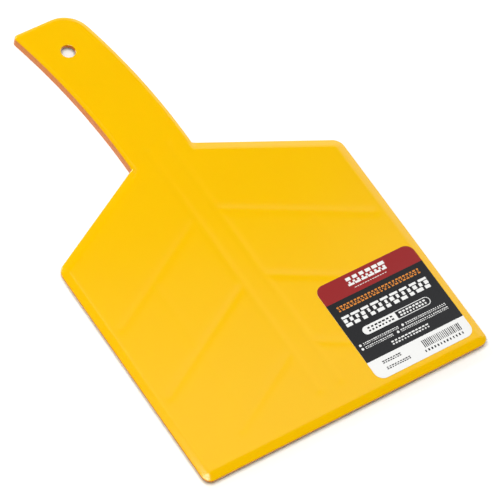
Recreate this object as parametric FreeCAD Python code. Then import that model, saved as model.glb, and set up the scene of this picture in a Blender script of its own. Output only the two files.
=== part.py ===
import FreeCAD, Part
import math
import os

from FreeCAD import Vector

# Mortar hawk of the racket kind: a flat five-sided board to carry mortar, and a flat, slightly
# curved handle in line with it. It is moulded in one shot of polypropylene, open underneath, with
# stiffening ribs, and carries one printed label. Each region of the moulding is a solid of its own
# that meets its neighbours face to face.
#
# Millimetres. +Z is up, out of the working face. +Y runs along the handle, away from the board's
# front edge. +X is to the right, seen from above with the handle pointing away. The origin is the
# centre of the outline, on the surface that the hawk lies on.

# Overall sizes
board_width = 180.0
overall_length = 280.0
height = 6.0                    # from the rib bottoms to the working face

# Board
side_length = 142.5             # front edge to the shoulder corners
neck_length = 178.0             # front edge to where the shoulders meet the handle
front_corner_radius = 5.0
shoulder_corner_radius = 7.0
plate_thickness = 2.2
rim_thickness = 1.0             # what the bevel leaves at the edge
bevel_width = 4.5

# Handle
handle_width = 38.5
handle_offset = -2.75           # its root stands a little left of the board's centre line
bend_start = 182.0              # from the front edge; the sides curve from here on
left_bend_radius = 400.0
right_bend_radius = 375.0
left_end_radius = 2.5
right_end_radius = 16.0
top_edge_radius = 1.5
wall_thickness = 2.0
root_lap = 10.0                 # how far the handle's top runs into the board
wall_lap = 8.0                  # how far its side walls run in under the board
hang_hole_diameter = 8.0
hang_hole_from_end = 22.1
hang_hole_offset = -1.7            # from the handle's middle, towards its left side

# Diagonal ribs inside the handle, crossing once in each bay
diagonal_thickness = 1.4
diagonal_setback = 0.5          # their bottoms stay above the rib bottoms of the board
first_crossing = 186.0          # from the front edge
bay_length = 23.0
bay_count = 3

# Ribs under the board
rib_thickness = 1.5
spine_spacing = 13.2            # between the two spine ribs
spine_offset = -1.7             # the middle of the pair, from the board's centre line
chevron_first = 44.1            # where the first one leaves the spine, from the front edge
chevron_pitch = 45.8
chevron_count = 3
chevron_angle = 28.5            # degrees to the front edge
side_rib_offset = 50.0
side_margin = 10.0              # rib ends to the sides and shoulders
rib_tail = 1.3                  # ribs end this far in front of the first chevron at a side rib

# Label on the working face
label_size = 62.5
label_corner_radius = 5.2
label_thickness = 0.2
label_from_front = 38.6         # its centre
label_offset = 54.2             # its centre, right of the board's centre line

# Places worked out from the sizes
front = -overall_length / 2
handle_end = overall_length / 2
underside = height - plate_thickness
handle_left = handle_offset - handle_width / 2
handle_right = handle_offset + handle_width / 2
bend_y = front + bend_start
neck_y = front + neck_length
cut_clearance = 1.0             # how far a cutting body stands past what it cuts


def turns_at(corners):
    """For each corner of an anticlockwise polygon: unit vectors before and after, half the turn."""
    turns = []
    for index, corner in enumerate(corners):
        before = (corner - corners[index - 1]).normalize()
        after = (corners[(index + 1) % len(corners)] - corner).normalize()
        turns.append((before, after, before.getAngle(after) / 2))
    return turns


def inset_corners(corners, distance):
    """Corners of the polygon whose sides lie this distance inside the given convex one."""
    result = []
    for corner, (before, after, half_turn) in zip(corners, turns_at(corners)):
        inwards = (after - before).normalize()
        result.append(corner + inwards * (distance / math.cos(half_turn)))
    return result


def rounded_wire(corners, radii):
    """Closed wire through a convex polygon with each corner rounded to its radius."""
    edges = []
    pen = None
    first = None
    for corner, radius, (before, after, half_turn) in zip(corners, radii, turns_at(corners)):
        reach = radius * math.tan(half_turn)
        start = corner - before * reach
        end = corner + after * reach
        if pen is None:
            first = start
        else:
            edges.append(Part.makeLine(pen, start))
        if radius > 0:
            inwards = (after - before).normalize()
            middle = corner + inwards * (radius / math.cos(half_turn) - radius)
            edges.append(Part.Arc(start, middle, end).toShape())
        pen = end
    edges.append(Part.makeLine(pen, first))
    return Part.Wire(edges)


def prism(wire, bottom, top):
    """Solid between two heights over a closed flat wire drawn at height zero."""
    face = Part.Face(wire)
    face.translate(Vector(0, 0, bottom))
    return face.extrude(Vector(0, 0, top - bottom))


def raised(wire, level):
    """A copy of a flat wire at another height."""
    copy = wire.copy()
    copy.translate(Vector(0, 0, level))
    return copy


def board_corners():
    """The board's unrounded outline, anticlockwise from the front left."""
    side = board_width / 2
    shoulder_y = front + side_length
    return [
        Vector(-side, front, 0),
        Vector(side, front, 0),
        Vector(side, shoulder_y, 0),
        Vector(handle_right, neck_y, 0),
        Vector(handle_left, neck_y, 0),
        Vector(-side, shoulder_y, 0),
    ]


def board_blank():
    """The board with its bevel all round, before the handle's root is let in."""
    corners = board_corners()
    front_r = front_corner_radius
    shoulder_r = shoulder_corner_radius
    outline_radii = [front_r, front_r, shoulder_r, 0, 0, shoulder_r]
    smallest = 0.5
    top_radii = [max(radius - bevel_width, smallest) if radius else 0 for radius in outline_radii]
    outline = rounded_wire(corners, outline_radii)
    top_outline = rounded_wire(inset_corners(corners, bevel_width), top_radii)
    rim_top = underside + rim_thickness
    rim = prism(outline, underside, rim_top)
    crown = Part.makeLoft([raised(outline, rim_top), raised(top_outline, height)], True, True)
    return rim.fuse(crown).removeSplitter()


def side_x(edge_x, radius, y):
    """Where one curved side of the handle is at a given y."""
    along = max(y - bend_y, 0)
    return edge_x - radius + math.sqrt(radius ** 2 - along ** 2)


def handle_middle(y):
    """The middle of the handle's width at a given y."""
    left = side_x(handle_left, left_bend_radius, y)
    right = side_x(handle_right, right_bend_radius, y)
    return (left + right) / 2


def handle_blank(inset, start_y, top):
    """Solid over the handle's plan, drawn in by the inset, from start_y to its end."""
    left_x = handle_left + inset
    right_x = handle_right - inset
    left_radius = left_bend_radius + inset
    right_radius = right_bend_radius - inset
    end_y = handle_end - inset
    half_y = (bend_y + end_y) / 2

    def left_at(y):
        return Vector(side_x(left_x, left_radius, y), y, 0)

    def right_at(y):
        return Vector(side_x(right_x, right_radius, y), y, 0)

    wire = Part.Wire([
        Part.makeLine(Vector(left_x, start_y, 0), Vector(right_x, start_y, 0)),
        Part.makeLine(Vector(right_x, start_y, 0), Vector(right_x, bend_y, 0)),
        Part.Arc(right_at(bend_y), right_at(half_y), right_at(end_y)).toShape(),
        Part.makeLine(right_at(end_y), left_at(end_y)),
        Part.Arc(left_at(end_y), left_at(half_y), left_at(bend_y)).toShape(),
        Part.makeLine(Vector(left_x, bend_y, 0), Vector(left_x, start_y, 0)),
    ])
    solid = prism(wire, 0, top)
    smallest = 0.5
    for corner, radius in ((left_at(end_y), left_end_radius), (right_at(end_y), right_end_radius)):
        edge = upright_edge(solid, corner)
        solid = solid.makeFillet(max(radius - inset, smallest), [edge])
    return solid


def upright_edge(solid, corner):
    """The vertical edge that stands over a corner of a prism's plan."""
    def stands_there(edge):
        return all(math.hypot(v.X - corner.x, v.Y - corner.y) < 1e-4 for v in edge.Vertexes)

    return next(edge for edge in solid.Edges if stands_there(edge))


def handle_body():
    """The handle as one block with its top edges rounded."""
    start_y = neck_y - root_lap
    block = handle_blank(0, start_y, height)

    def on_top_side(edge):
        at_top = all(abs(v.Z - height) < 1e-6 for v in edge.Vertexes)
        at_root = all(abs(v.Y - start_y) < 1e-6 for v in edge.Vertexes)
        return at_top and not at_root

    return block.makeFillet(top_edge_radius, [edge for edge in block.Edges if on_top_side(edge)])


def slab(low_x, high_x, low_y, high_y, bottom, top):
    """Block between three pairs of planes."""
    corner = Vector(low_x, low_y, bottom)
    return Part.makeBox(high_x - low_x, high_y - low_y, top - bottom, corner)


def rib_between(start, end, thickness, bottom):
    """Straight rib from one point to another, up to the underside of the plate."""
    run = end - start
    solid = Part.makeBox(run.Length, thickness, underside - bottom, Vector(0, -thickness / 2, bottom))
    solid.rotate(Vector(0, 0, 0), Vector(0, 0, 1), math.degrees(math.atan2(run.y, run.x)))
    solid.translate(start)
    return solid


def make_board_plate(handle):
    """Carries the mortar. The handle's root is let into it at the neck."""
    return board_blank().cut(handle)


def make_handle_top(handle):
    """The handle's flat top with the hole that the hawk hangs by."""
    reach = board_width
    top = handle.common(slab(-reach, reach, front, handle_end, underside, height))
    hole_y = handle_end - hang_hole_from_end
    hole_x = handle_middle(hole_y) + hang_hole_offset
    hole_centre = Vector(hole_x, hole_y, underside - cut_clearance)
    hole = Part.makeCylinder(hang_hole_diameter / 2, plate_thickness + 2 * cut_clearance, hole_centre)
    return top.cut(hole)


def make_handle_walls():
    """The walls round the handle's open underside: left, right and end."""
    start_y = neck_y - wall_lap
    ring = handle_blank(0, start_y, underside)
    ring = ring.cut(handle_blank(wall_thickness, start_y - cut_clearance, underside))
    split_y = handle_end - right_end_radius - wall_thickness
    reach = overall_length
    end = slab(-reach, reach, split_y, handle_end, 0, underside)
    left, right = sorted(ring.cut(end).Solids, key=lambda wall: wall.CenterOfMass.x)
    return {
        "handle_wall_left": left,
        "handle_wall_right": right,
        "handle_wall_end": ring.common(end),
    }


def wall_face(side, y):
    """Point on the inner face of a side wall, -1 for left and 1 for right."""
    if side < 0:
        x = side_x(handle_left + wall_thickness, left_bend_radius + wall_thickness, y)
    else:
        x = side_x(handle_right - wall_thickness, right_bend_radius - wall_thickness, y)
    return Vector(x, y, 0)


def diagonal_ends(bay, side):
    """Low end of a diagonal on its own side's wall, and high end on the other wall."""
    y = front + first_crossing + bay * bay_length
    half_rise = bay_length / 2 - diagonal_thickness
    return wall_face(side, y - half_rise), wall_face(-side, y + half_rise)


def make_handle_diagonals():
    """Two diagonals a bay, named for the wall they rise from. The right one is in two halves."""
    hollow = handle_blank(wall_thickness, neck_y - wall_lap, underside)
    ribs = {}
    for bay in range(bay_count):
        pair = []
        for side in (-1, 1):
            low, high = diagonal_ends(bay, side)
            overrun = (high - low).normalize() * wall_thickness
            rib = rib_between(low - overrun, high + overrun, diagonal_thickness, diagonal_setback)
            pair.append(rib.common(hollow))
        ribs["handle_diagonal_%d_left" % (bay + 1)] = pair[0]
        ribs["handle_diagonal_%d_right" % (bay + 1)] = pair[1].cut(pair[0])
    return ribs


def spine_x(side):
    """Middle of the spine rib on one side, -1 for left and 1 for right."""
    return spine_offset + side * spine_spacing / 2


def chevron_y(order, side, x):
    """Middle of a chevron rib at a given x, counted from the front edge's first one."""
    drop = abs(x - spine_x(side)) * math.tan(math.radians(chevron_angle))
    return front + chevron_first + (order - 1) * chevron_pitch - drop


def rib_front():
    """Where the ribs under the board end towards the front edge."""
    crossings = [chevron_y(1, side, side * side_rib_offset) for side in (-1, 1)]
    return min(crossings) - rib_tail


def make_spine_rib(side, diagonals):
    """Runs from near the front edge up to the first diagonals inside the handle's root."""
    x = spine_x(side)
    low, high = diagonal_ends(0, side)
    end_y = low.y + (high.y - low.y) * (x - low.x) / (high.x - low.x)
    half = rib_thickness / 2
    rib = slab(x - half, x + half, rib_front(), end_y, 0, underside)
    for diagonal in diagonals:
        rib = rib.cut(diagonal)
    return rib


def rib_field():
    """The part of the underside that the chevron ribs keep to."""
    corners = inset_corners(board_corners(), side_margin)
    field = prism(rounded_wire(corners, [0] * len(corners)), 0, underside)
    reach = board_width
    front_strip = slab(-reach, reach, front, rib_front(), 0, underside)
    return field.cut(front_strip)


def make_chevron_rib(order, side, field, spine):
    """Slopes from a spine rib out to the side of the board."""
    start_x = spine_x(side)
    end_x = start_x + side * board_width
    start = Vector(start_x, chevron_y(order, side, start_x), 0)
    end = Vector(end_x, chevron_y(order, side, end_x), 0)
    return rib_between(start, end, rib_thickness, 0).common(field).cut(spine)


def make_side_rib(side, chevrons):
    """Ties the chevron ribs of one side together, in a piece between each two of them."""
    x = side * side_rib_offset
    half = rib_thickness / 2
    low_y = chevron_y(1, side, x)
    high_y = chevron_y(chevron_count, side, x)
    rib = slab(x - half, x + half, low_y, high_y, 0, underside)
    for chevron in chevrons:
        rib = rib.cut(chevron)
    return rib


def make_board_ribs(diagonals):
    """Spine, chevron and side ribs, left and right. The chevrons are counted from the front."""
    ribs = {}
    field = rib_field()
    for name, side in (("left", -1), ("right", 1)):
        spine = make_spine_rib(side, diagonals)
        ribs["spine_rib_" + name] = spine
        orders = range(1, chevron_count + 1)
        chevrons = [make_chevron_rib(order, side, field, spine) for order in orders]
        for order, chevron in zip(orders, chevrons):
            ribs["chevron_rib_%d_%s" % (order, name)] = chevron
        ribs["side_rib_" + name] = make_side_rib(side, chevrons)
    return ribs


def make_label():
    """Square printed label with rounded corners, stuck on the working face."""
    half = label_size / 2
    centre = Vector(label_offset, front + label_from_front, 0)
    corners = [centre + Vector(x * half, y * half, 0) for x, y in ((-1, -1), (1, -1), (1, 1), (-1, 1))]
    return prism(rounded_wire(corners, [label_corner_radius] * 4), height, height + label_thickness)


def make_parts():
    """Every solid of the hawk by its name."""
    handle = handle_body()
    parts = {
        "board_plate": make_board_plate(handle),
        "handle_top": make_handle_top(handle),
    }
    parts.update(make_handle_walls())
    diagonals = make_handle_diagonals()
    parts.update(diagonals)
    parts.update(make_board_ribs(diagonals.values()))
    parts["label"] = make_label()
    return parts


os.makedirs("parts", exist_ok=True)
for part_name, shape in make_parts().items():
    shape.exportStep("parts/" + part_name + ".step")
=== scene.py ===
import math

import bpy
import numpy as np
from mathutils import Matrix, Vector
from mathutils.geometry import delaunay_2d_cdt
from mathutils.kdtree import KDTree


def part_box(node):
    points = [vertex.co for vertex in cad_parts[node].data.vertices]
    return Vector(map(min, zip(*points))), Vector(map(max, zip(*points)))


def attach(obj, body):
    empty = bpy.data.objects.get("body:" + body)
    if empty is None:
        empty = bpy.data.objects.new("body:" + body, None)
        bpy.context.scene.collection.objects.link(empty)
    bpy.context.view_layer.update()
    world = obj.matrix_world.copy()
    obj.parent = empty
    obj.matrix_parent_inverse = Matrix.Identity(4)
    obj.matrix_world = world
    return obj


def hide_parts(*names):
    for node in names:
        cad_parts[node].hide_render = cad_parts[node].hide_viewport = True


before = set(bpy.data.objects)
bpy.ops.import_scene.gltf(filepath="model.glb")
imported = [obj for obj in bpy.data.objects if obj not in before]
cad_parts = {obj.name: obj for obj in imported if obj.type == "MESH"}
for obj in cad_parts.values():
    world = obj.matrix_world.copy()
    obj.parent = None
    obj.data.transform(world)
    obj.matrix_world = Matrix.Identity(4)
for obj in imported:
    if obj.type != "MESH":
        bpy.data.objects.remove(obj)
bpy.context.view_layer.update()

# ---------------------------------------------------------------- Board and handle top
# The five-sided plate that carries the mortar, and in line with it the flat, slightly bent handle
# with its hang hole. One shot of yellow polypropylene: the board's edge is bevelled down to a thin
# rim, the handle's top edge less so, and faint sink marks show where the ribs stand underneath.

MM = 0.001                          # plans and heights are in millimetres until a mesh is made


def node_box(name):
    """Lowest and highest corner of a CAD node, in millimetres."""
    low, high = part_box(name)
    return low / MM, high / MM


plate_low, plate_high = node_box("board_plate")
handle_low, handle_high = node_box("handle_top")
wall_left_high = node_box("handle_wall_left")[1]

wall_thickness = 2.0
underside = plate_low.z
face = plate_high.z
front_y = plate_low.y
neck_y = plate_high.y
root_y = handle_low.y
end_y = handle_high.y
handle_right = handle_high.x
handle_left = wall_left_high.x - wall_thickness
shoulder_y = front_y + 142.5
bend_y = front_y + 182.0            # the handle's sides are straight up to here

rim_height = 1.0                    # thickness of the plate at its edge
bevel_width = 4.5
bevel_softness = 0.3                # height over which the bevel melts into the flat face
rim_rounding = 0.3
handle_bevel_width = 2.0            # the handle's top edge is bevelled less, and rounded at the rim
handle_bevel_drop = 0.6
handle_bevel_softness = 0.1
handle_rounding = 0.5
left_bend = Vector((handle_left - 400.0, bend_y))
left_bend_radius = 400.0
right_bend = Vector((handle_right - 375.0, bend_y))
right_bend_radius = 375.0
left_end_radius = 2.5
right_end_radius = 16.0
hole_y = end_y - 22.1
hole_offset = -1.7                  # from the handle's middle line, towards its left side
hole_radius = 4.0
hole_rounding = 0.4

point_step = 2.5                    # between points along an edge
arc_turn = math.radians(10)         # and round a corner
grid_step = 1.4                     # between points in the flat

board_corners = [
    Vector((handle_left, neck_y)),
    Vector((plate_low.x, shoulder_y)),
    Vector((plate_low.x, front_y)),
    Vector((plate_high.x, front_y)),
    Vector((plate_high.x, shoulder_y)),
    Vector((handle_right, neck_y)),
]
corner_radii = [7.0, 5.0, 5.0, 7.0]


def straight(start, end):
    """Points on a line from start up to, but not including, end."""
    count = max(1, round((end - start).length / point_step))
    return [start.lerp(end, i / count) for i in range(count)]


def arc(centre, radius, start, turn):
    """Points round an arc, its end included. One point if it has no radius."""
    if radius < 1e-6:
        return [centre.copy()]
    count = max(math.ceil(abs(turn) / arc_turn), math.ceil(abs(turn) * radius / point_step))
    angles = [start + turn * i / count for i in range(count + 1)]
    return [centre + Vector((math.cos(a), math.sin(a))) * radius for a in angles]


def board_turn(order):
    """Directions before and after one of the board's rounded corners, and half its turn."""
    before = (board_corners[order] - board_corners[order - 1]).normalized()
    after = (board_corners[order + 1] - board_corners[order]).normalized()
    return before, after, before.angle(after) / 2


def board_path(inset):
    """The board's edge from the left neck round to the right neck, drawn in by the inset."""
    before = board_turn(1)[0]
    pen = board_corners[0] + Vector((-before.y, before.x)) * inset
    points = []
    for order, corner_radius in enumerate(corner_radii, 1):
        before, after, half_turn = board_turn(order)
        radius = max(corner_radius, inset)
        inwards = (after - before).normalized()
        centre = board_corners[order] + inwards * (radius / math.cos(half_turn))
        bend = arc(centre, radius - inset, math.atan2(-before.x, before.y), 2 * half_turn)
        points += straight(pen, bend[0]) + bend[:-1]
        pen = bend[-1]
    last = board_corners[-1] + Vector((-after.y, after.x)) * inset
    return points + straight(pen, last)


def handle_path(inset, start_y):
    """The handle's edge from its right root round its end to its left root, drawn in by the inset."""
    right_r = max(right_end_radius, inset)
    left_r = max(left_end_radius, inset)
    right_lean = math.asin((end_y - right_r - bend_y) / (right_bend_radius - right_r))
    left_lean = math.asin((end_y - left_r - bend_y) / (left_bend_radius + left_r))
    right_centre = right_bend + Vector((math.cos(right_lean), math.sin(right_lean))) * (
        right_bend_radius - right_r
    )
    left_centre = left_bend + Vector((math.cos(left_lean), math.sin(left_lean))) * (
        left_bend_radius + left_r
    )
    right_side = arc(right_bend, right_bend_radius - inset, 0, right_lean)
    right_corner = arc(right_centre, right_r - inset, right_lean, math.pi / 2 - right_lean)
    left_corner = arc(left_centre, left_r - inset, math.pi / 2, math.pi / 2 + left_lean)
    left_side = arc(left_bend, left_bend_radius + inset, left_lean, -left_lean)
    points = straight(Vector((handle_right - inset, start_y)), right_side[0])
    points += right_side[:-1] + right_corner[:-1]
    points += straight(right_corner[-1], left_corner[0]) + left_corner[:-1]
    points += left_side[:-1] + straight(left_side[-1], Vector((handle_left + inset, start_y)))
    return points


def side_x(side, y, inset=0.0):
    """Where the handle's left (-1) or right (1) side is at a given y, drawn in by the inset."""
    along = max(y - bend_y, 0)
    if side < 0:
        return left_bend.x + math.sqrt((left_bend_radius + inset) ** 2 - along ** 2)
    return right_bend.x + math.sqrt((right_bend_radius - inset) ** 2 - along ** 2)


def rounded_depth(depth, x, y, centre, radius, before, after):
    """The depth inside an outline, corrected where a point lies in the wedge of a rounded corner."""
    dx = x - centre.x
    dy = y - centre.y
    beyond = (dx * before.x + dy * before.y > 0) & (dx * after.x + dy * after.y < 0)
    return np.where(beyond, np.minimum(depth, radius - np.hypot(dx, dy)), depth)


def board_depth(x, y):
    """How far inside the board's edge the points are."""
    depth = np.full(x.shape, np.inf)
    for start, end in zip(board_corners, board_corners[1:]):
        along = (end - start).normalized()
        depth = np.minimum(depth, (y - start.y) * along.x - (x - start.x) * along.y)
    for order, radius in enumerate(corner_radii, 1):
        before, after, half_turn = board_turn(order)
        inwards = (after - before).normalized()
        centre = board_corners[order] + inwards * (radius / math.cos(half_turn))
        depth = rounded_depth(depth, x, y, centre, radius, before, after)
    return depth


def handle_depth(x, y):
    """How far inside the handle's edge the points are."""
    bent = y > bend_y
    from_left = np.hypot(x - left_bend.x, y - left_bend.y) - left_bend_radius
    from_right = right_bend_radius - np.hypot(x - right_bend.x, y - right_bend.y)
    depth = np.minimum(
        np.where(bent, from_left, x - handle_left),
        np.where(bent, from_right, handle_right - x),
    )
    depth = np.minimum(np.minimum(depth, end_y - y), y - root_y)
    lean = math.asin((end_y - right_end_radius - bend_y) / (right_bend_radius - right_end_radius))
    reach = right_bend_radius - right_end_radius
    centre = right_bend + Vector((math.cos(lean), math.sin(lean))) * reach
    up = Vector((-math.sin(lean), math.cos(lean)))
    depth = rounded_depth(depth, x, y, centre, right_end_radius, up, Vector((-1, 0)))
    lean = math.asin((end_y - left_end_radius - bend_y) / (left_bend_radius + left_end_radius))
    reach = left_bend_radius + left_end_radius
    centre = left_bend + Vector((math.cos(lean), math.sin(lean))) * reach
    down = Vector((math.sin(lean), -math.cos(lean)))
    return rounded_depth(depth, x, y, centre, left_end_radius, Vector((-1, 0)), down)


# Middle lines of the ribs underneath, placed by the CAD nodes as far as their boxes tell.
rib_thickness = 1.5
chevron_first_y = front_y + 44.1
chevron_pitch = 45.8
chevron_slope = math.tan(math.radians(28.5))
diagonal_thickness = 1.4
diagonal_pitch = 23.0
diagonal_rise = diagonal_pitch / 2 - diagonal_thickness     # from a crossing to its diagonals' ends
first_crossing_y = front_y + 186.0


def spine_lines():
    """The two long ribs down the middle of the board."""
    lines = []
    for name in ("spine_rib_left", "spine_rib_right"):
        low, high = node_box(name)
        x = (low.x + high.x) / 2
        lines.append((Vector((x, low.y)), Vector((x, high.y))))
    return lines


def chevron_lines():
    """The ribs that slope from the spine to the sides of the board."""
    lines = []
    for side, name, spine in zip((-1, 1), ("left", "right"), spine_lines()):
        for order in (1, 2, 3):
            low, high = node_box("chevron_rib_%d_%s" % (order, name))
            start = Vector((spine[0].x, chevron_first_y + (order - 1) * chevron_pitch))
            reach = (high.x if side > 0 else -low.x) - side * start.x
            end = start + Vector((side * reach, -reach * chevron_slope))
            lines.append((start, end))
    return lines


def side_lines():
    """The ribs that tie the sloping ones together."""
    lines = []
    for name in ("side_rib_left", "side_rib_right"):
        low, high = node_box(name)
        x = (low.x + high.x) / 2
        lines.append((Vector((x, low.y)), Vector((x, high.y))))
    return lines


def diagonal_lines():
    """The crossing ribs inside the handle, from wall to wall."""
    lines = []
    for bay in range(3):
        y = first_crossing_y + bay * diagonal_pitch
        for side in (-1, 1):
            low = Vector((side_x(side, y - diagonal_rise, wall_thickness), y - diagonal_rise))
            high = Vector((side_x(-side, y + diagonal_rise, wall_thickness), y + diagonal_rise))
            lines.append((low, high))
    return lines


# Sink marks: over each rib the face has pulled in as it cooled. Depth and shares are not measured
# ones, they are as large as the marks need to show faintly under soft light.
sink_depth = 0.16
sink_width = 2.2
side_share = 0.35                   # the ribs that only tie others together show less
far_left_rib = 2                    # and so does the sloping rib nearest the handle on the left
far_left_share = 0.55
handle_share = 0.35                 # the thinner diagonals show less, but for where they cross
crossing_width = 1.3


def line_distance(x, y, start, end):
    """Distance of the points from a stretch of line."""
    run = end - start
    along = ((x - start.x) * run.x + (y - start.y) * run.y) / run.length_squared
    along = np.clip(along, 0, 1)
    return np.hypot(x - start.x - along * run.x, y - start.y - along * run.y)


def sink_share(x, y):
    """Share of the sink depth, 1 on a rib's middle line and 0 far from it."""
    share = np.zeros(x.shape)
    sloping = chevron_lines()
    families = (
        (1.0, spine_lines() + sloping[:far_left_rib] + sloping[far_left_rib + 1:]),
        (far_left_share, sloping[far_left_rib:far_left_rib + 1]),
        (side_share, side_lines()), (handle_share, diagonal_lines()),
    )
    for strength, lines in families:
        for start, end in lines:
            distance = line_distance(x, y, start, end)
            share = np.maximum(share, strength * np.exp(-(distance / sink_width) ** 2))
    for bay in range(3):
        crossing_y = first_crossing_y + bay * diagonal_pitch
        crossing_x = (side_x(-1, crossing_y) + side_x(1, crossing_y)) / 2
        distance = np.hypot(x - crossing_x, y - crossing_y)
        share = np.maximum(share, np.exp(-(distance / crossing_width) ** 2))
    return share


def rounding_drop(depth, radius):
    """How far a rounded edge has dropped at a given depth inside it."""
    share = np.clip(1 - depth / radius, 0, 1)
    return radius * (1 - np.sqrt(1 - share ** 2))


def soft_minimum(a, b, softness):
    """The lower of two heights, with the crease between them softened."""
    share = np.clip(0.5 + 0.5 * (b - a) / softness, 0, 1)
    return b * (1 - share) + a * share - softness * share * (1 - share)


hole_x = (side_x(-1, hole_y) + side_x(1, hole_y)) / 2 + hole_offset
hole_centre = Vector((hole_x, hole_y))


def top_height(x, y):
    """Height of the upper surface."""
    inside_board = board_depth(x, y)
    inside_handle = handle_depth(x, y)
    rim_top = underside + rim_height
    slope = (face - rim_top) / bevel_width
    board = soft_minimum(face, rim_top + inside_board * slope, bevel_softness)
    board = board - rounding_drop(inside_board, rim_rounding)
    handle_slope = handle_bevel_drop / handle_bevel_width
    bevel = face - handle_bevel_drop + inside_handle * handle_slope
    handle = soft_minimum(face, bevel, handle_bevel_softness)
    handle = handle - rounding_drop(inside_handle, handle_rounding)
    outline_slack = 0.01            # points on the outline count as inside it
    height = np.maximum(
        np.where(inside_board > -outline_slack, board, underside),
        np.where(inside_handle > -outline_slack, handle, underside),
    )
    from_hole = np.hypot(x - hole_centre.x, y - hole_centre.y) - hole_radius
    height = height - rounding_drop(from_hole, hole_rounding)
    return height - sink_depth * sink_share(x, y)


def apart(points, others, gap):
    """Those of the points that keep a gap from all the others."""
    tree = KDTree(len(others))
    for index, other in enumerate(others):
        tree.insert((other.x, other.y, 0), index)
    tree.balance()
    return [p for p in points if tree.find((p.x, p.y, 0))[2] > gap]


def circle(centre, radius, count):
    """Points round a circle, anticlockwise."""
    angles = [2 * math.pi * i / count for i in range(count)]
    return [centre + Vector((math.cos(a), math.sin(a))) * radius for a in angles]


def grid(step):
    """Staggered points over the whole outline's box."""
    row_step = step * math.sqrt(3) / 2
    rows = math.ceil((end_y - front_y) / row_step)
    columns = math.ceil((plate_high.x - plate_low.x) / step)
    points = []
    for row in range(rows):
        y = front_y + row * row_step
        shift = step / 2 * (row % 2)
        points += [Vector((plate_low.x + shift + step * i, y)) for i in range(columns)]
    return points


def inside(points, margin):
    """Those of the points that lie in the outline, further from its edge than the margin."""
    x = np.array([p.x for p in points])
    y = np.array([p.y for p in points])
    depth = np.maximum(board_depth(x, y), handle_depth(x, y))
    from_hole = np.hypot(x - hole_centre.x, y - hole_centre.y) - hole_radius
    keep = (depth > margin) & (from_hole > margin)
    return [p for p, kept in zip(points, keep) if kept]


def triangulated(outline, hole, loose, paths=()):
    """Plan points and triangles inside the outline and outside the hole. Loose points that follow
    each other on one of the paths are joined by an edge."""
    points = outline + hole + loose
    count = len(outline)
    edges = [(i, (i + 1) % count) for i in range(count)]
    edges += [(count + i, count + (i + 1) % len(hole)) for i in range(len(hole))]
    index_of = {(p.x, p.y): i for i, p in enumerate(points)}
    for path in paths:
        order = [index_of.get((p.x, p.y)) for p in path]
        edges += [(a, b) for a, b in zip(order, order[1:]) if a is not None and b is not None]
    made = delaunay_2d_cdt(points, edges, [], 0, 1e-7, True)
    plan, triangles, origins = made[0], made[2], made[3]
    centres = [(plan[a] + plan[b] + plan[c]) / 3 for a, b, c in triangles]
    x = np.array([c.x for c in centres])
    y = np.array([c.y for c in centres])
    hole_flat = hole_radius * math.cos(math.pi / len(hole))
    hole_gap = np.hypot(x - hole_centre.x, y - hole_centre.y) - hole_flat
    keep = (np.maximum(board_depth(x, y), handle_depth(x, y)) > 0) & (hole_gap > 0)
    kept = [t for t, k in zip(triangles, keep) if k]
    place = {}
    for index, sources in enumerate(origins):
        for source in sources:
            place[source] = index
    border = [place[i] for i in range(count)]
    hole_border = [place[count + i] for i in range(len(hole))]
    return plan, kept, border, hole_border


def new_piece(name, points, faces):
    """A mesh object at the origin, from points in millimetres."""
    mesh = bpy.data.meshes.new(name)
    mesh.from_pydata([Vector(p) * MM for p in points], [], faces)
    piece = bpy.data.objects.new(name, mesh)
    bpy.context.collection.objects.link(piece)
    return piece


def finish_shading(piece, sharp_degrees):
    """Smooth shading that breaks where the surface turns by more than an angle."""
    mesh = piece.data
    mesh.polygons.foreach_set("use_smooth", [True] * len(mesh.polygons))
    mesh.set_sharp_from_angle(angle=math.radians(sharp_degrees))
    mesh.validate()


def band(lower, upper):
    """Quads between two closed rows of points that run anticlockwise, facing outwards."""
    count = len(lower)
    following = [(i, (i + 1) % count) for i in range(count)]
    return [(lower[i], lower[j], upper[j], upper[i]) for i, j in following]


hole_points = 40
ring_gap = 0.3                      # where the handle's rings of points meet the board's
edge_gap = 0.03                     # between a ring of points and the outline
grid_margin = 0.6                   # between the outline and the points in the flat
grid_gap = 0.75                     # and between those and the rings
outline = board_path(0) + handle_path(0, neck_y)
hole_edge = circle(hole_centre, hole_radius, hole_points)
board_insets = (0.04, 0.13, 0.3, 0.8, 1.6, 2.6, 3.4, 4.0, 4.6, 5.3, 6.2)
handle_insets = (0.04, 0.12, 0.25, 0.4, 0.65, 1.1, 1.6, 1.85, 2.15, 2.5, 3.2)
board_paths = [board_path(inset) for inset in board_insets]
handle_paths = [handle_path(inset, neck_y + inset) for inset in handle_insets]
board_rings = [p for path in board_paths for p in path]
handle_rings = [p for path in handle_paths for p in path]
rings = board_rings + apart(handle_rings, board_rings, ring_gap)
for widen in (0.08, 0.22, 0.45, 1.0):
    rings += circle(hole_centre, hole_radius + widen, hole_points)
rings = inside(rings, edge_gap)
rings = apart(rings, outline, edge_gap)
loose = rings + apart(inside(grid(grid_step), grid_margin), rings + outline, grid_gap)
top_plan, top_faces, top_border, top_hole = triangulated(
    outline, hole_edge, loose, board_paths + handle_paths,
)

# The underside is flat but for the round marks of the pins that push the moulding out.
pin_radius = 3.0
pin_depth = 0.15
pin_points = 24
pin_slope = 0.12                    # width of the mark's side, in plan
pin_rim = 0.05                      # only points further in than this are raised
coarse_step = 6.0
coarse_margin = 2.0
coarse_gap = 1.5
pin_places = [
    Vector((side * x, front_y + y))
    for side in (-1, 1)
    for x, y in ((30.0, 14.0), (72.0, 14.0), (72.0, 78.0), (30.0, 76.0), (66.0, 132.0), (30.0, 140.0))
]


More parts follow.
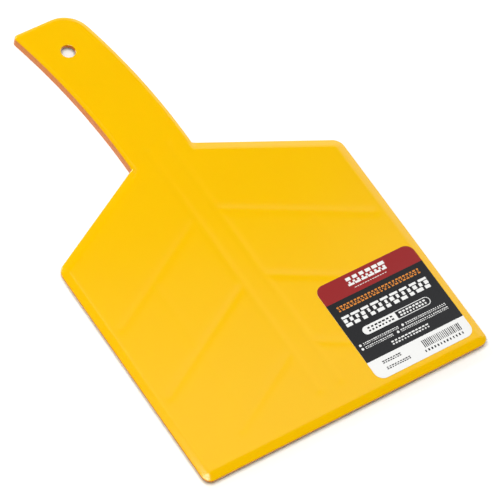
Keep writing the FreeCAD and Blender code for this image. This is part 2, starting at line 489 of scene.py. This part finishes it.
def bottom_height(x, y):
    """Height of the plate's lower surface."""
    height = np.full(x.shape, underside)
    for pin in pin_places:
        marked = np.hypot(x - pin.x, y - pin.y) < pin_radius - pin_rim
        height = np.where(marked, underside + pin_depth, height)
    return height


marks = []
for pin in pin_places:
    marks += circle(pin, pin_radius, pin_points) + circle(pin, pin_radius - pin_slope, pin_points)
flat = apart(inside(grid(coarse_step), coarse_margin), marks + outline, coarse_gap)
low_plan, low_faces, low_border, low_hole = triangulated(outline, hole_edge, marks + flat)


def raised(plan, height_at):
    """Plan points with their heights."""
    x = np.array([p.x for p in plan])
    y = np.array([p.y for p in plan])
    return [(p.x, p.y, z) for p, z in zip(plan, height_at(x, y))]


skip = len(top_plan)
points = raised(top_plan, top_height) + raised(low_plan, bottom_height)
faces = [tuple(f) for f in top_faces]
faces += [tuple(skip + i for i in reversed(f)) for f in low_faces]
faces += band([skip + i for i in low_border], top_border)
faces += band(top_hole, [skip + i for i in low_hole])
plate = new_piece("board_and_handle_top", points, faces)
finish_shading(plate, 40)


def linear(hex_colour):
    """Linear colour with full alpha from an sRGB hex value."""
    channels = [int(hex_colour[i:i + 2], 16) / 255 for i in (1, 3, 5)]
    decoded = [c / 12.92 if c <= 0.04045 else ((c + 0.055) / 1.055) ** 2.4 for c in channels]
    return (*decoded, 1.0)


def add_node(tree, kind, inputs=None, **settings):
    """One node with its settings. Each input is given a value, or the socket that feeds it."""
    node = tree.nodes.new(kind)
    for name, value in settings.items():
        setattr(node, name, value)
    in_use = [socket for socket in node.inputs if socket.enabled]
    for key, value in (inputs or {}).items():
        socket = in_use[key] if isinstance(key, int) else next(s for s in in_use if s.name == key)
        if isinstance(value, bpy.types.NodeSocket):
            tree.links.new(value, socket)
        else:
            socket.default_value = value
    return node


def new_material(name):
    """An empty node material, and its tree."""
    material = bpy.data.materials.new(name)
    material.use_nodes = True
    material.node_tree.nodes.clear()
    return material, material.node_tree


# Polypropylene, injection moulded in a polished tool: a strong, slightly see-through yellow with a
# fairly clear gloss, a faint waviness from the flow, and fine scuffs from stacking.
polypropylene, tree = new_material("moulded_yellow_polypropylene")
place = add_node(tree, "ShaderNodeTexCoord").outputs["Object"]
flow = add_node(tree, "ShaderNodeTexNoise", {"Vector": place, "Scale": 22.0, "Detail": 2.0})
tint = add_node(
    tree, "ShaderNodeMix",
    {"Factor": flow.outputs[0], "A": linear("#dcaa00"), "B": linear("#dfae00")},
    data_type="RGBA",
)
scuffs = add_node(tree, "ShaderNodeTexNoise", {"Vector": place, "Scale": 700.0, "Detail": 3.0})
gloss = add_node(
    tree, "ShaderNodeMapRange",
    {"Value": scuffs.outputs[0], "From Min": 0.3, "From Max": 0.7, "To Min": 0.12, "To Max": 0.16},
)
wave = add_node(tree, "ShaderNodeTexNoise", {"Vector": place, "Scale": 180.0, "Detail": 2.0})
skin = add_node(
    tree, "ShaderNodeBump", {"Strength": 0.5, "Distance": 0.000012, "Height": wave.outputs[0]},
)
# Painted shade: by the direction that the surface faces, upright faces are mixed to a darker orange
# that stands in for their shade.
turned = add_node(
    tree, "ShaderNodeSeparateXYZ",
    {"Vector": add_node(tree, "ShaderNodeNewGeometry").outputs["Normal"]},
)
level_share = add_node(tree, "ShaderNodeMath", {0: turned.outputs["Z"]}, operation="ABSOLUTE")
painted_wall_shade_share = add_node(
    tree, "ShaderNodeMapRange",
    {"Value": level_share.outputs[0], "From Min": 0.2, "From Max": 0.8, "To Min": 1.0, "To Max": 0.0},
)
# The yellow, darkened to orange on upright faces as painted shade.
colour_with_painted_wall_shade = add_node(
    tree, "ShaderNodeMix",
    {
        "Factor": painted_wall_shade_share.outputs[0],
        "A": next(socket for socket in tint.outputs if socket.enabled),
        "B": linear("#c86c00"),
    },
    data_type="RGBA",
)
plastic = add_node(tree, "ShaderNodeBsdfPrincipled", {
    "Base Color": next(socket for socket in colour_with_painted_wall_shade.outputs if socket.enabled),
    "Roughness": gloss.outputs[0],
    "Normal": skin.outputs[0],
    "IOR": 1.49,
    "Subsurface Weight": 0.12,
    "Subsurface Radius": (1.0, 0.45, 0.08),
    "Subsurface Scale": 0.0015,
})
add_node(tree, "ShaderNodeOutputMaterial", {"Surface": plastic.outputs[0]})

plate.data.materials.append(polypropylene)
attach(plate, "root")
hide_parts("board_plate", "handle_top")

# ---------------------------------------------------------------- Handle walls
# The wall round the handle's open underside, of the same shot as the plate. It stands flush with the
# handle's outline, runs in under the board on both sides, and its lower edges are rounded.


def new_tree(name, sockets):
    """A Geometry Nodes tree with named inputs and a geometry output, and the sockets that the inputs
    come in by.
    """
    tree = bpy.data.node_groups.new(name, "GeometryNodeTree")
    tree.interface.new_socket("Geometry", in_out="INPUT", socket_type="NodeSocketGeometry")
    tree.interface.new_socket("Geometry", in_out="OUTPUT", socket_type="NodeSocketGeometry")
    for label, kind in sockets.items():
        tree.interface.new_socket(label, in_out="INPUT", socket_type="NodeSocket" + kind)
    return tree, add_node(tree, "NodeGroupInput").outputs


def grown(tree, base, **values):
    """The plain mesh that a tree makes from a starting mesh, with its inputs set by identifier."""
    carrier = bpy.data.objects.new("carrier", base)
    bpy.context.collection.objects.link(carrier)
    modifier = carrier.modifiers.new("make", "NODES")
    modifier.node_group = tree
    for item in tree.interface.items_tree:
        label = item.name.lower().replace(" ", "_")
        if item.in_out == "INPUT" and label in values:
            modifier[item.identifier] = values[label]
    graph = bpy.context.evaluated_depsgraph_get()
    mesh = bpy.data.meshes.new_from_object(carrier.evaluated_get(graph), depsgraph=graph)
    bpy.data.objects.remove(carrier)
    return mesh


# A wall or rib that hangs under the plate. Its middle line is swept with a drafted profile whose free
# edge is rounded, and with a low wide one that eases it into the plate.
rib_tree, given = new_tree("rib_under_the_plate", {
    "Thickness": "Float", "Depth": "Float", "Draft": "Float",
    "Edge Radius": "Float", "Root Fillet": "Float", "Reach": "Float", "Material": "Material",
})
line = add_node(rib_tree, "GeometryNodeMeshToCurve", {"Mesh": given["Geometry"]})
upright = add_node(rib_tree, "GeometryNodeSetCurveNormal", {"Curve": line.outputs[0]}, mode="Z_UP")
free_width = add_node(
    rib_tree, "ShaderNodeMath", {0: given["Thickness"], 1: given["Draft"]}, operation="SUBTRACT",
)
blade_height = add_node(
    rib_tree, "ShaderNodeMath", {0: given["Depth"], 1: given["Reach"]}, operation="ADD",
)
root_height = add_node(
    rib_tree, "ShaderNodeMath", {0: given["Root Fillet"], 1: given["Reach"]}, operation="ADD",
)
root_width = add_node(
    rib_tree, "ShaderNodeMath", {0: given["Root Fillet"], 1: 2.0, 2: given["Thickness"]},
    operation="MULTIPLY_ADD",
)
sweeps = []
for plate_width, edge_width, total, edge_radius in (
    (given["Thickness"], free_width.outputs[0], blade_height.outputs[0], given["Edge Radius"]),
    (root_width.outputs[0], given["Thickness"], root_height.outputs[0], 0.0),
):
    profile = add_node(
        rib_tree, "GeometryNodeCurvePrimitiveQuadrilateral",
        {"Bottom Width": plate_width, "Top Width": edge_width, "Height": total, "Offset": 0.0},
        mode="TRAPEZOID",
    )
    rounded = add_node(
        rib_tree, "GeometryNodeFilletCurve",
        {"Curve": profile.outputs[0], "Radius": edge_radius, "Count": 4}, mode="POLY",
    )
    half = add_node(rib_tree, "ShaderNodeMath", {0: total, 1: 0.5}, operation="MULTIPLY")
    drop = add_node(
        rib_tree, "ShaderNodeMath", {0: half.outputs[0], 1: given["Reach"]}, operation="SUBTRACT",
    )
    shift = add_node(rib_tree, "ShaderNodeCombineXYZ", {"Y": drop.outputs[0]})
    hung = add_node(
        rib_tree, "GeometryNodeTransform",
        {"Geometry": rounded.outputs[0], "Translation": shift.outputs[0]},
    )
    sweeps.append(add_node(
        rib_tree, "GeometryNodeCurveToMesh",
        {"Curve": upright.outputs[0], "Profile Curve": hung.outputs[0], "Fill Caps": True},
    ))
joined = add_node(rib_tree, "GeometryNodeJoinGeometry")
for sweep in sweeps:
    rib_tree.links.new(sweep.outputs[0], joined.inputs[0])
whole = add_node(rib_tree, "GeometryNodeRealizeInstances", {"Geometry": joined.outputs[0]})
finished = add_node(
    rib_tree, "GeometryNodeSetMaterial",
    {"Geometry": whole.outputs[0], "Material": given["Material"]},
)
add_node(rib_tree, "NodeGroupOutput", {"Geometry": finished.outputs[0]})


def line_mesh(name, paths):
    """Edges along each path of plan points, at the plate's lower surface."""
    points = []
    edges = []
    for path in paths:
        first = len(points)
        points += [(p.x * MM, p.y * MM, underside * MM) for p in path]
        edges += [(i, i + 1) for i in range(first, len(points) - 1)]
    mesh = bpy.data.meshes.new(name)
    mesh.from_pydata(points, edges, [])
    return mesh


rib_reach = 0.04                    # how far ribs and walls reach up into the plate


def hung_ribs(name, paths, thickness, depth, draft, edge_radius, root_fillet):
    """A piece of ribs under the plate, from their middle lines and their sizes in millimetres."""
    mesh = grown(
        rib_tree, line_mesh(name + "_lines", paths),
        thickness=thickness * MM, depth=depth * MM, draft=draft * MM,
        edge_radius=edge_radius * MM, root_fillet=root_fillet * MM,
        reach=rib_reach * MM, material=polypropylene,
    )
    piece = bpy.data.objects.new(name, mesh)
    bpy.context.collection.objects.link(piece)
    finish_shading(piece, 50)
    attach(piece, "root")
    return piece


wall_start_y = node_box("handle_wall_left")[0].y
wall_line = handle_path(wall_thickness / 2, wall_start_y)
wall_line.append(Vector((handle_left + wall_thickness / 2, wall_start_y)))
walls = hung_ribs(
    "handle_walls", [wall_line], thickness=wall_thickness, depth=underside,
    draft=0.0, edge_radius=0.4, root_fillet=0.0,
)
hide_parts("handle_wall_left", "handle_wall_right", "handle_wall_end")

# ---------------------------------------------------------------- Ribs inside the handle
# Thin diagonal ribs that cross once in each of three bays and stiffen the open handle. They are part
# of the same shot, and stop a little short of the surface that the hawk lies on.
diagonal_low = node_box("handle_diagonal_1_left")[0].z
diagonals = hung_ribs(
    "handle_diagonals", diagonal_lines(), thickness=diagonal_thickness,
    depth=underside - diagonal_low, draft=0.2, edge_radius=0.25, root_fillet=0.4,
)
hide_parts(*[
    "handle_diagonal_%d_%s" % (bay, side) for bay in (1, 2, 3) for side in ("left", "right")
])

# ---------------------------------------------------------------- Ribs under the board
# Two long spine ribs, three sloping ribs on each side of them and one tie across those, all moulded
# with the plate. Their lower edges are what the hawk lies on.
board_ribs = hung_ribs(
    "board_ribs", spine_lines() + chevron_lines() + side_lines(), thickness=rib_thickness,
    depth=underside, draft=0.2, edge_radius=0.35, root_fillet=0.5,
)
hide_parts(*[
    "%s_%s" % (kind, side) for side in ("left", "right")
    for kind in ("spine_rib", "chevron_rib_1", "chevron_rib_2", "chevron_rib_3", "side_rib")
])

# ---------------------------------------------------------------- Label
# A square of printed polypropylene film with rounded corners, stuck on the working face near its
# front right corner: a red head, a charcoal field and a white foot, with plain blocks for the print.
label_low, label_high = node_box("label")
label_radius = 5.2
film_bottom = face - 0.07           # in the skin of the plate, so that no gap shows at its edge
film_top = face + 0.15
head_depth = 12.0
foot_depth = 11.9


def printed_film(name, colour, roughness):
    """Glossy printed film: flat ink under a clear layer, its gloss broken by faint unevenness."""
    material, tree = new_material(name)
    place = add_node(tree, "ShaderNodeTexCoord").outputs["Object"]
    speckle = add_node(tree, "ShaderNodeTexNoise", {"Vector": place, "Scale": 900.0, "Detail": 2.0})
    gloss = add_node(tree, "ShaderNodeMapRange", {
        "Value": speckle.outputs[0], "From Min": 0.3, "From Max": 0.7,
        "To Min": roughness - 0.03, "To Max": roughness + 0.03,
    })
    ripple = add_node(tree, "ShaderNodeTexNoise", {"Vector": place, "Scale": 60.0, "Detail": 1.0})
    uneven = add_node(
        tree, "ShaderNodeBump", {"Strength": 0.4, "Distance": 0.00002, "Height": ripple.outputs[0]},
    )
    film = add_node(tree, "ShaderNodeBsdfPrincipled", {
        "Base Color": linear(colour),
        "Roughness": gloss.outputs[0],
        "Normal": uneven.outputs[0],
        "IOR": 1.5,
    })
    add_node(tree, "ShaderNodeOutputMaterial", {"Surface": film.outputs[0]})
    return material


red_print = printed_film("red_printed_film", "#86181a", 0.18)
charcoal_print = printed_film("charcoal_printed_film", "#101114", 0.18)
white_print = printed_film("white_printed_film", "#dadad8", 0.22)
orange_print = printed_film("orange_printed_film", "#c87a28", 0.22)

label_corners = [
    (Vector((label_low.x + label_radius, label_low.y + label_radius)), math.pi),
    (Vector((label_high.x - label_radius, label_low.y + label_radius)), 1.5 * math.pi),
    (Vector((label_high.x - label_radius, label_high.y - label_radius)), 0.0),
    (Vector((label_low.x + label_radius, label_high.y - label_radius)), 0.5 * math.pi),
]
foot, right_edge, head, left_edge = [arc(c, label_radius, a, math.pi / 2) for c, a in label_corners]
foot_y = label_low.y + foot_depth
head_y = label_high.y - head_depth
foot_right = Vector((label_high.x, foot_y))
head_right = Vector((label_high.x, head_y))
head_left = Vector((label_low.x, head_y))
foot_left = Vector((label_low.x, foot_y))
film_outline = foot + right_edge + [foot_right, head_right] + head + left_edge
film_outline += [head_left, foot_left]
count = len(film_outline)
split = len(foot + right_edge)      # the outline's point where the foot ends on the right
film_points = [(p.x, p.y, z) for z in (film_bottom, film_top) for p in film_outline]
upper = list(range(count, 2 * count))
foot_face = upper[:split + 1] + [upper[-1]]
field_face = [upper[split], upper[split + 1], upper[-2], upper[-1]]
head_face = upper[split + 1:-1]
film_faces = [foot_face, field_face, head_face, list(reversed(range(count)))]
film_faces += band(list(range(count)), upper)
label = new_piece("printed_label", film_points, film_faces)
for material in (white_print, charcoal_print, red_print):
    label.data.materials.append(material)
label.data.polygons[1].material_index = 1
label.data.polygons[2].material_index = 2
finish_shading(label, 30)
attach(label, "root")
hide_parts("label")

# ---------------------------------------------------------------- Print on the label
# Ink a few hundredths of a millimetre thick, in white, orange and black. Each row of print is a row
# of plain blocks, so it carries no lettering.
row_tree, given = new_tree("printed_row", {
    "Start": "Vector", "Length": "Float", "Height": "Float", "Thickness": "Float",
    "Blocks": "Int", "Narrowest": "Float", "Widest": "Float", "Seed": "Int", "Round": "Bool",
    "Material": "Material",
})
pitch = add_node(
    row_tree, "ShaderNodeMath", {0: given["Length"], 1: given["Blocks"]}, operation="DIVIDE",
)
half_pitch = add_node(row_tree, "ShaderNodeMath", {0: pitch.outputs[0], 1: 0.5}, operation="MULTIPLY")
step = add_node(row_tree, "ShaderNodeCombineXYZ", {"X": pitch.outputs[0]})
half_step = add_node(row_tree, "ShaderNodeCombineXYZ", {"X": half_pitch.outputs[0]})
first = add_node(
    row_tree, "ShaderNodeVectorMath", {0: given["Start"], 1: half_step.outputs[0]}, operation="ADD",
)
spots = add_node(row_tree, "GeometryNodeMeshLine", {
    "Count": given["Blocks"], "Start Location": first.outputs[0], "Offset": step.outputs[0],
})
share = add_node(row_tree, "FunctionNodeRandomValue", {
    "Min": given["Narrowest"], "Max": given["Widest"], "Seed": given["Seed"],
})
width = add_node(
    row_tree, "ShaderNodeMath", {0: share.outputs[1], 1: pitch.outputs[0]}, operation="MULTIPLY",
)
block_size = add_node(row_tree, "ShaderNodeCombineXYZ", {
    "X": width.outputs[0], "Y": given["Height"], "Z": given["Thickness"],
})
square = add_node(row_tree, "GeometryNodeMeshCube")
disc = add_node(row_tree, "GeometryNodeMeshCylinder", {"Vertices": 32, "Radius": 0.5, "Depth": 1.0})
block = add_node(
    row_tree, "GeometryNodeSwitch",
    {"Switch": given["Round"], "False": square.outputs[0], "True": disc.outputs[0]},
    input_type="GEOMETRY",
)
blocks = add_node(row_tree, "GeometryNodeInstanceOnPoints", {
    "Points": spots.outputs[0], "Instance": block.outputs[0], "Scale": block_size.outputs[0],
})
whole = add_node(row_tree, "GeometryNodeRealizeInstances", {"Geometry": blocks.outputs[0]})
finished = add_node(
    row_tree, "GeometryNodeSetMaterial",
    {"Geometry": whole.outputs[0], "Material": given["Material"]},
)
add_node(row_tree, "NodeGroupOutput", {"Geometry": finished.outputs[0]})

ink_thickness = 0.02
layer_step = 0.01
dot_below = 0.004                   # round ends stand a little lower than the bar they belong to
ink_middle = film_top + 0.01


def print_rows(name, material, layer, rows, dots=()):
    """One piece of ink. Rows are left, bottom, length, height, blocks, narrowest, widest and seed,
    dots are left, bottom and width, all in millimetres from the label's lower left corner."""
    whole = [(row, False) for row in rows]
    whole += [((left, bottom, width, width, 1, 1.0, 1.0, 0), True) for left, bottom, width in dots]
    empty = bpy.data.meshes.new(name + "_start")
    points = []
    faces = []
    for (left, bottom, length, height, blocks, narrowest, widest, seed), is_round in whole:
        ink_z = ink_middle + layer * layer_step - (dot_below if is_round else 0)
        start = Vector((label_low.x + left, label_low.y + bottom + height / 2, ink_z)) * MM
        mesh = grown(
            row_tree, empty, start=start, length=length * MM, height=height * MM,
            thickness=ink_thickness * MM, blocks=blocks, narrowest=narrowest, widest=widest,
            seed=seed, round=is_round, material=material,
        )
        skip = len(points)
        points += [v.co / MM for v in mesh.vertices]
        faces += [tuple(skip + i for i in p.vertices) for p in mesh.polygons]
    piece = new_piece(name, points, faces)
    piece.data.materials.append(material)
    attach(piece, "root")


# The head's word, a wide headline, a capsule split in two, four bullets with small print and a
# short line, all as plain blocks.
print_rows("white_print_on_label", white_print, 0, [
    (18.0, 58.3, 25.6, 1.9, 6, 0.6, 0.92, 1),
    (18.4, 56.5, 25.0, 1.1, 9, 0.35, 0.6, 2),
    (18.0, 55.2, 25.6, 1.2, 6, 0.6, 0.92, 3),
    (20.5, 53.2, 21.0, 0.35, 13, 0.5, 0.9, 4),
    (2.6, 39.9, 56.0, 1.4, 9, 0.6, 0.9, 5),
    (2.6, 37.2, 56.0, 2.2, 15, 0.35, 0.7, 6),
    (2.6, 34.7, 56.0, 2.0, 11, 0.5, 0.85, 7),
    (11.55, 26.0, 38.3, 5.1, 1, 1.0, 1.0, 0),
    (4.6, 22.5, 23.0, 0.5, 17, 0.45, 0.85, 8),
    (4.6, 21.6, 23.0, 0.45, 22, 0.3, 0.7, 9),
    (32.0, 22.5, 26.4, 0.5, 19, 0.45, 0.85, 10),
    (32.0, 21.6, 26.4, 0.45, 24, 0.3, 0.7, 11),
    (4.6, 20.1, 18.0, 0.5, 13, 0.45, 0.85, 12),
    (4.6, 19.2, 18.0, 0.45, 17, 0.3, 0.7, 13),
    (27.4, 20.1, 31.0, 0.5, 22, 0.45, 0.85, 14),
    (27.4, 19.2, 31.0, 0.45, 28, 0.3, 0.7, 15),
    (18.6, 16.1, 24.4, 0.8, 11, 0.5, 0.9, 16),
    (18.6, 14.6, 24.4, 0.8, 13, 0.4, 0.8, 17),
], dots=[
    (9.0, 26.0, 5.1), (47.3, 26.0, 5.1),
    (2.2, 21.6, 1.5), (29.6, 21.6, 1.5), (2.2, 19.2, 1.5), (25.0, 19.2, 1.5),
])
print_rows("charcoal_print_on_label", charcoal_print, 1, [
    (30.7, 26.4, 19.15, 4.3, 1, 1.0, 1.0, 0),
    (11.8, 28.9, 17.0, 1.0, 7, 0.5, 0.85, 18),
    (11.8, 27.1, 17.0, 1.0, 8, 0.4, 0.8, 19),
], dots=[(47.7, 26.4, 4.3)])
print_rows("white_print_in_capsule", white_print, 2, [
    (32.4, 28.9, 17.6, 1.0, 8, 0.5, 0.85, 20),
    (32.4, 27.2, 17.6, 1.0, 9, 0.4, 0.8, 21),
])
print_rows("orange_print_on_label", orange_print, 0, [
    (4.0, 46.6, 54.0, 0.9, 24, 0.45, 0.85, 22),
    (4.4, 45.6, 53.2, 0.6, 30, 0.3, 0.6, 23),
    (4.0, 44.4, 54.0, 0.8, 22, 0.45, 0.85, 24),
])
black_print = printed_film("black_printed_film", "#17171a", 0.22)
print_rows("black_print_on_label", black_print, 0, [
    (7.6, 8.6, 12.0, 0.65, 7, 0.6, 0.9, 25),
    (7.6, 7.5, 12.0, 0.65, 8, 0.5, 0.85, 26),
    (7.6, 4.6, 15.6, 0.6, 9, 0.6, 0.9, 27),
    (7.6, 3.6, 15.6, 0.6, 10, 0.5, 0.85, 28),
    (33.0, 5.2, 24.6, 4.5, 23, 0.3, 0.68, 29),
    (31.4, 2.7, 26.0, 1.4, 13, 0.35, 0.5, 30),
])

# ---------------------------------------------------------------- Floor, light and camera
# A plain, nearly white floor of matt paper under a large soft light, with weaker soft lights behind
# and on the right, three low panels that mirror in the face, and a surround that is pale low down
# and nearly dark overhead.
floor_half = 4000.0
floor_corners = [(-1, -1), (1, -1), (1, 1), (-1, 1)]
floor = new_piece(
    "floor", [(x * floor_half, y * floor_half, 0) for x, y in floor_corners], [(0, 1, 2, 3)],
)
paper, tree = new_material("pale_matt_paper")
place = add_node(tree, "ShaderNodeTexCoord").outputs["Object"]
fibre = add_node(tree, "ShaderNodeTexNoise", {"Vector": place, "Scale": 40.0, "Detail": 2.0})
paleness = add_node(
    tree, "ShaderNodeMix",
    {"Factor": fibre.outputs[0], "A": linear("#f1efeb"), "B": linear("#f5f3ef")}, data_type="RGBA",
)
matt = add_node(tree, "ShaderNodeBsdfPrincipled", {
    "Base Color": next(socket for socket in paleness.outputs if socket.enabled),
    "Roughness": 0.9,
    "Specular IOR Level": 0.0,
})
add_node(tree, "ShaderNodeOutputMaterial", {"Surface": matt.outputs[0]})
floor.data.materials.append(paper)

scene = bpy.context.scene
scene.view_settings.view_transform = "Standard"
world = bpy.data.worlds.new("studio")
scene.world = world
world.use_nodes = True
world.node_tree.nodes.clear()
towards_light = math.radians(40)    # the pale backdrop stands behind on the right; 0 is +X
direction = add_node(world.node_tree, "ShaderNodeTexCoord").outputs["Generated"]
facing = add_node(
    world.node_tree, "ShaderNodeVectorMath",
    {0: direction, 1: (math.cos(towards_light), math.sin(towards_light), 0)},
    operation="DOT_PRODUCT",
)
backdrop = add_node(world.node_tree, "ShaderNodeMapRange", {
    "Value": facing.outputs["Value"], "From Min": -0.2, "From Max": 0.7, "To Min": 0.2, "To Max": 0.75,
})
parts = add_node(world.node_tree, "ShaderNodeSeparateXYZ", {"Vector": direction})
height_fade = add_node(world.node_tree, "ShaderNodeMapRange", {
    "Value": parts.outputs["Z"], "From Min": 0.42, "From Max": 0.62, "To Min": 1.0, "To Max": 0.03,
})
brightness = add_node(
    world.node_tree, "ShaderNodeMath",
    {0: backdrop.outputs[0], 1: height_fade.outputs[0]}, operation="MULTIPLY",
)
surround = add_node(
    world.node_tree, "ShaderNodeBackground",
    {"Color": linear("#ffffff"), "Strength": brightness.outputs[0]},
)
add_node(world.node_tree, "ShaderNodeOutputWorld", {"Surface": surround.outputs[0]})


def soft_light(name, place, width, depth, power, aim=(0, 0, 0)):
    """A rectangular soft light at a place, turned to face a point. Metres and watts."""
    data = bpy.data.lights.new(name, "AREA")
    data.shape = "RECTANGLE"
    data.size = width
    data.size_y = depth
    data.energy = power
    lamp = bpy.data.objects.new(name, data)
    lamp.location = place
    lamp.rotation_euler = (Vector(place) - Vector(aim)).to_track_quat("Z", "Y").to_euler()
    bpy.context.collection.objects.link(lamp)
    return lamp


def around(azimuth, elevation, distance):
    """A place given by its direction from the middle of the object, in degrees, and its distance."""
    turn = math.radians(azimuth)
    lift = math.radians(elevation)
    level = Vector((math.cos(turn), math.sin(turn), 0)) * math.cos(lift)
    return (level + Vector((0, 0, math.sin(lift)))) * distance


soft_light("top_softbox", around(205, 70, 1.3), 0.8, 0.8, 19.4)
soft_light("right_softbox", around(30, 28, 1.3), 0.9, 0.9, 2.6)
soft_light("back_softbox", around(105, 35, 1.2), 0.4, 0.4, 5)
# Low panels that face straight down and mirror in the face. No two hang at the same height, because
# one would hide the other.
panel_x = 0.46
panel_turn = math.radians(-17)
for name, y, z in (("far_panel", 0.24, 1.0), ("near_panel", 0.13, 0.97)):
    panel = soft_light(name, (panel_x, y, z), 1.1, 0.32, 0.43, aim=(panel_x, y, 0))
    panel.rotation_euler.z = panel_turn
soft_light("right_panel", (0.72, 0.27, 0.94), 0.36, 0.22, 0.08, aim=(0.72, 0.27, 0))

camera_target = Vector((7.18, -33.40, 4.8)) * MM
camera_azimuth = math.radians(-48.404)
camera_elevation = math.radians(56.378)
camera_roll = math.radians(17.683)
camera_distance = 1.97992
back = Vector((
    math.sin(camera_azimuth) * math.cos(camera_elevation),
    -math.cos(camera_azimuth) * math.cos(camera_elevation),
    math.sin(camera_elevation),
))
level = Vector((math.cos(camera_azimuth), math.sin(camera_azimuth), 0))
upright = back.cross(level)
right = level * math.cos(camera_roll) + upright * math.sin(camera_roll)
up = upright * math.cos(camera_roll) - level * math.sin(camera_roll)
lens = bpy.data.cameras.new("camera")
lens.lens = 270.7
lens.sensor_width = 36.0
camera = bpy.data.objects.new("camera", lens)
camera.matrix_world = Matrix.Translation(camera_target + back * camera_distance) @ Matrix(
    (right, up, back)
).transposed().to_4x4()
bpy.context.collection.objects.link(camera)
scene.camera = camera
